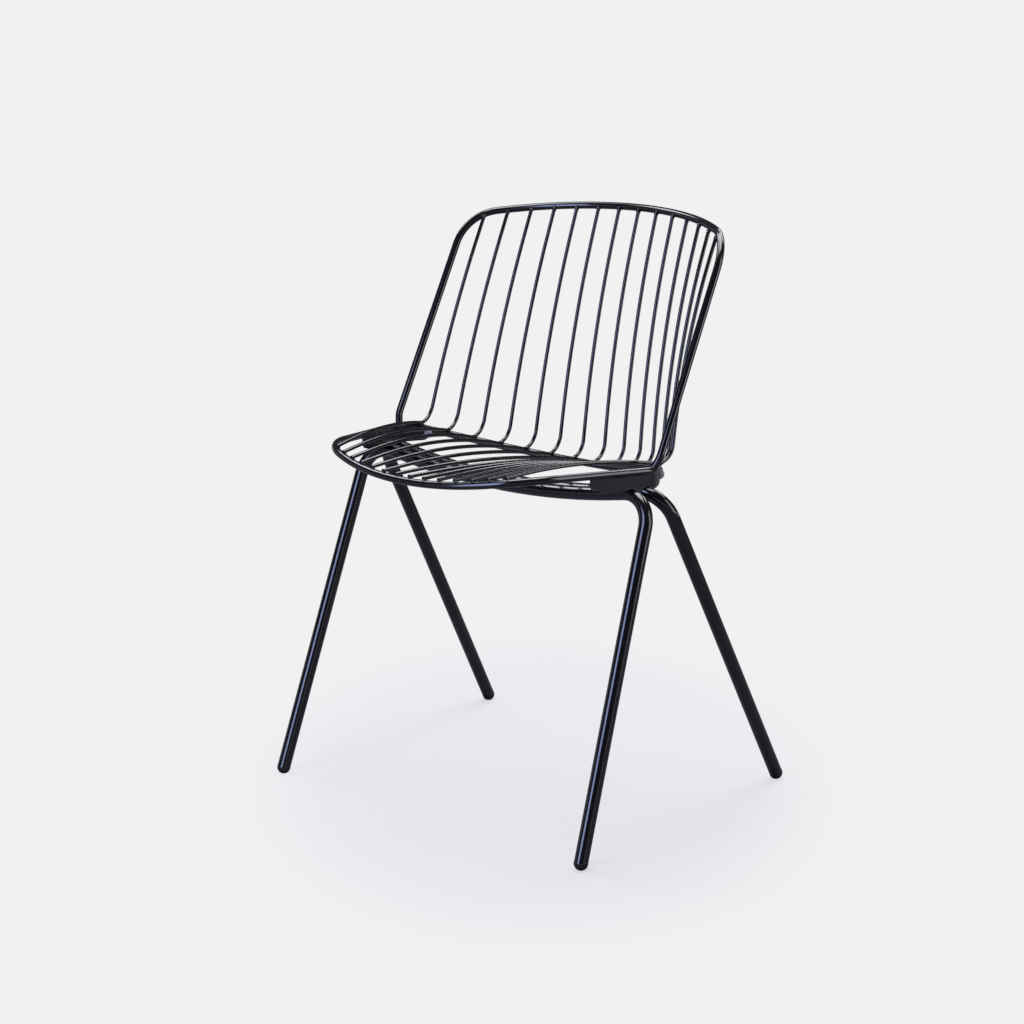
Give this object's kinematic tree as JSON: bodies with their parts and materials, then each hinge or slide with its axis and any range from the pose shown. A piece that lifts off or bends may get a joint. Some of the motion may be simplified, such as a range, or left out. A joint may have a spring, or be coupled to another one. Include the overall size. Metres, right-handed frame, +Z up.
{
  "type": "wire mesh chair",
  "caption": "Low-backed dining chair of bent steel wire and rod on two splayed tube leg frames, with a rounded seat and a curved back.",
  "frame": {"origin": "on the floor under the middle of the box round the chair", "axes": "+Z up, +Y towards the back of the chair, so a sitter faces -Y; left and right are as seen from the front, so right is +X"},
  "size_m": [0.5166, 0.4463, 0.726],
  "materials": {
    "wire_coat": "satin powder coat",
    "rod_coat": "satin powder coat",
    "tube_coat": "satin powder coat",
    "plate_coat": "satin powder coat",
    "cap_plastic": "moulded gloss plastic",
    "clear_plastic": "clouded clear soft plastic"
  },
  "bodies": {
    "root": {"seat_ring": "rod_coat", "back_rim": "rod_coat", "wire_01": "wire_coat", "wire_02": "wire_coat", "wire_03": "wire_coat", "wire_04": "wire_coat", "wire_05": "wire_coat", "wire_06": "wire_coat", "wire_07": "wire_coat", "wire_08": "wire_coat", "wire_09": "wire_coat", "wire_10": "wire_coat", "wire_11": "wire_coat", "wire_12": "wire_coat", "wire_13": "wire_coat", "wire_14": "wire_coat", "front_leg_frame": "tube_coat", "rear_leg_frame": "tube_coat", "bracket_plate_left": "plate_coat", "bracket_plate_right": "plate_coat", "foot_cap_front_left": "cap_plastic", "foot_cap_front_right": "cap_plastic", "foot_cap_rear_left": "cap_plastic", "foot_cap_rear_right": "cap_plastic", "bumper_left": "clear_plastic", "bumper_right": "clear_plastic"}
  },
  "joints": []
}
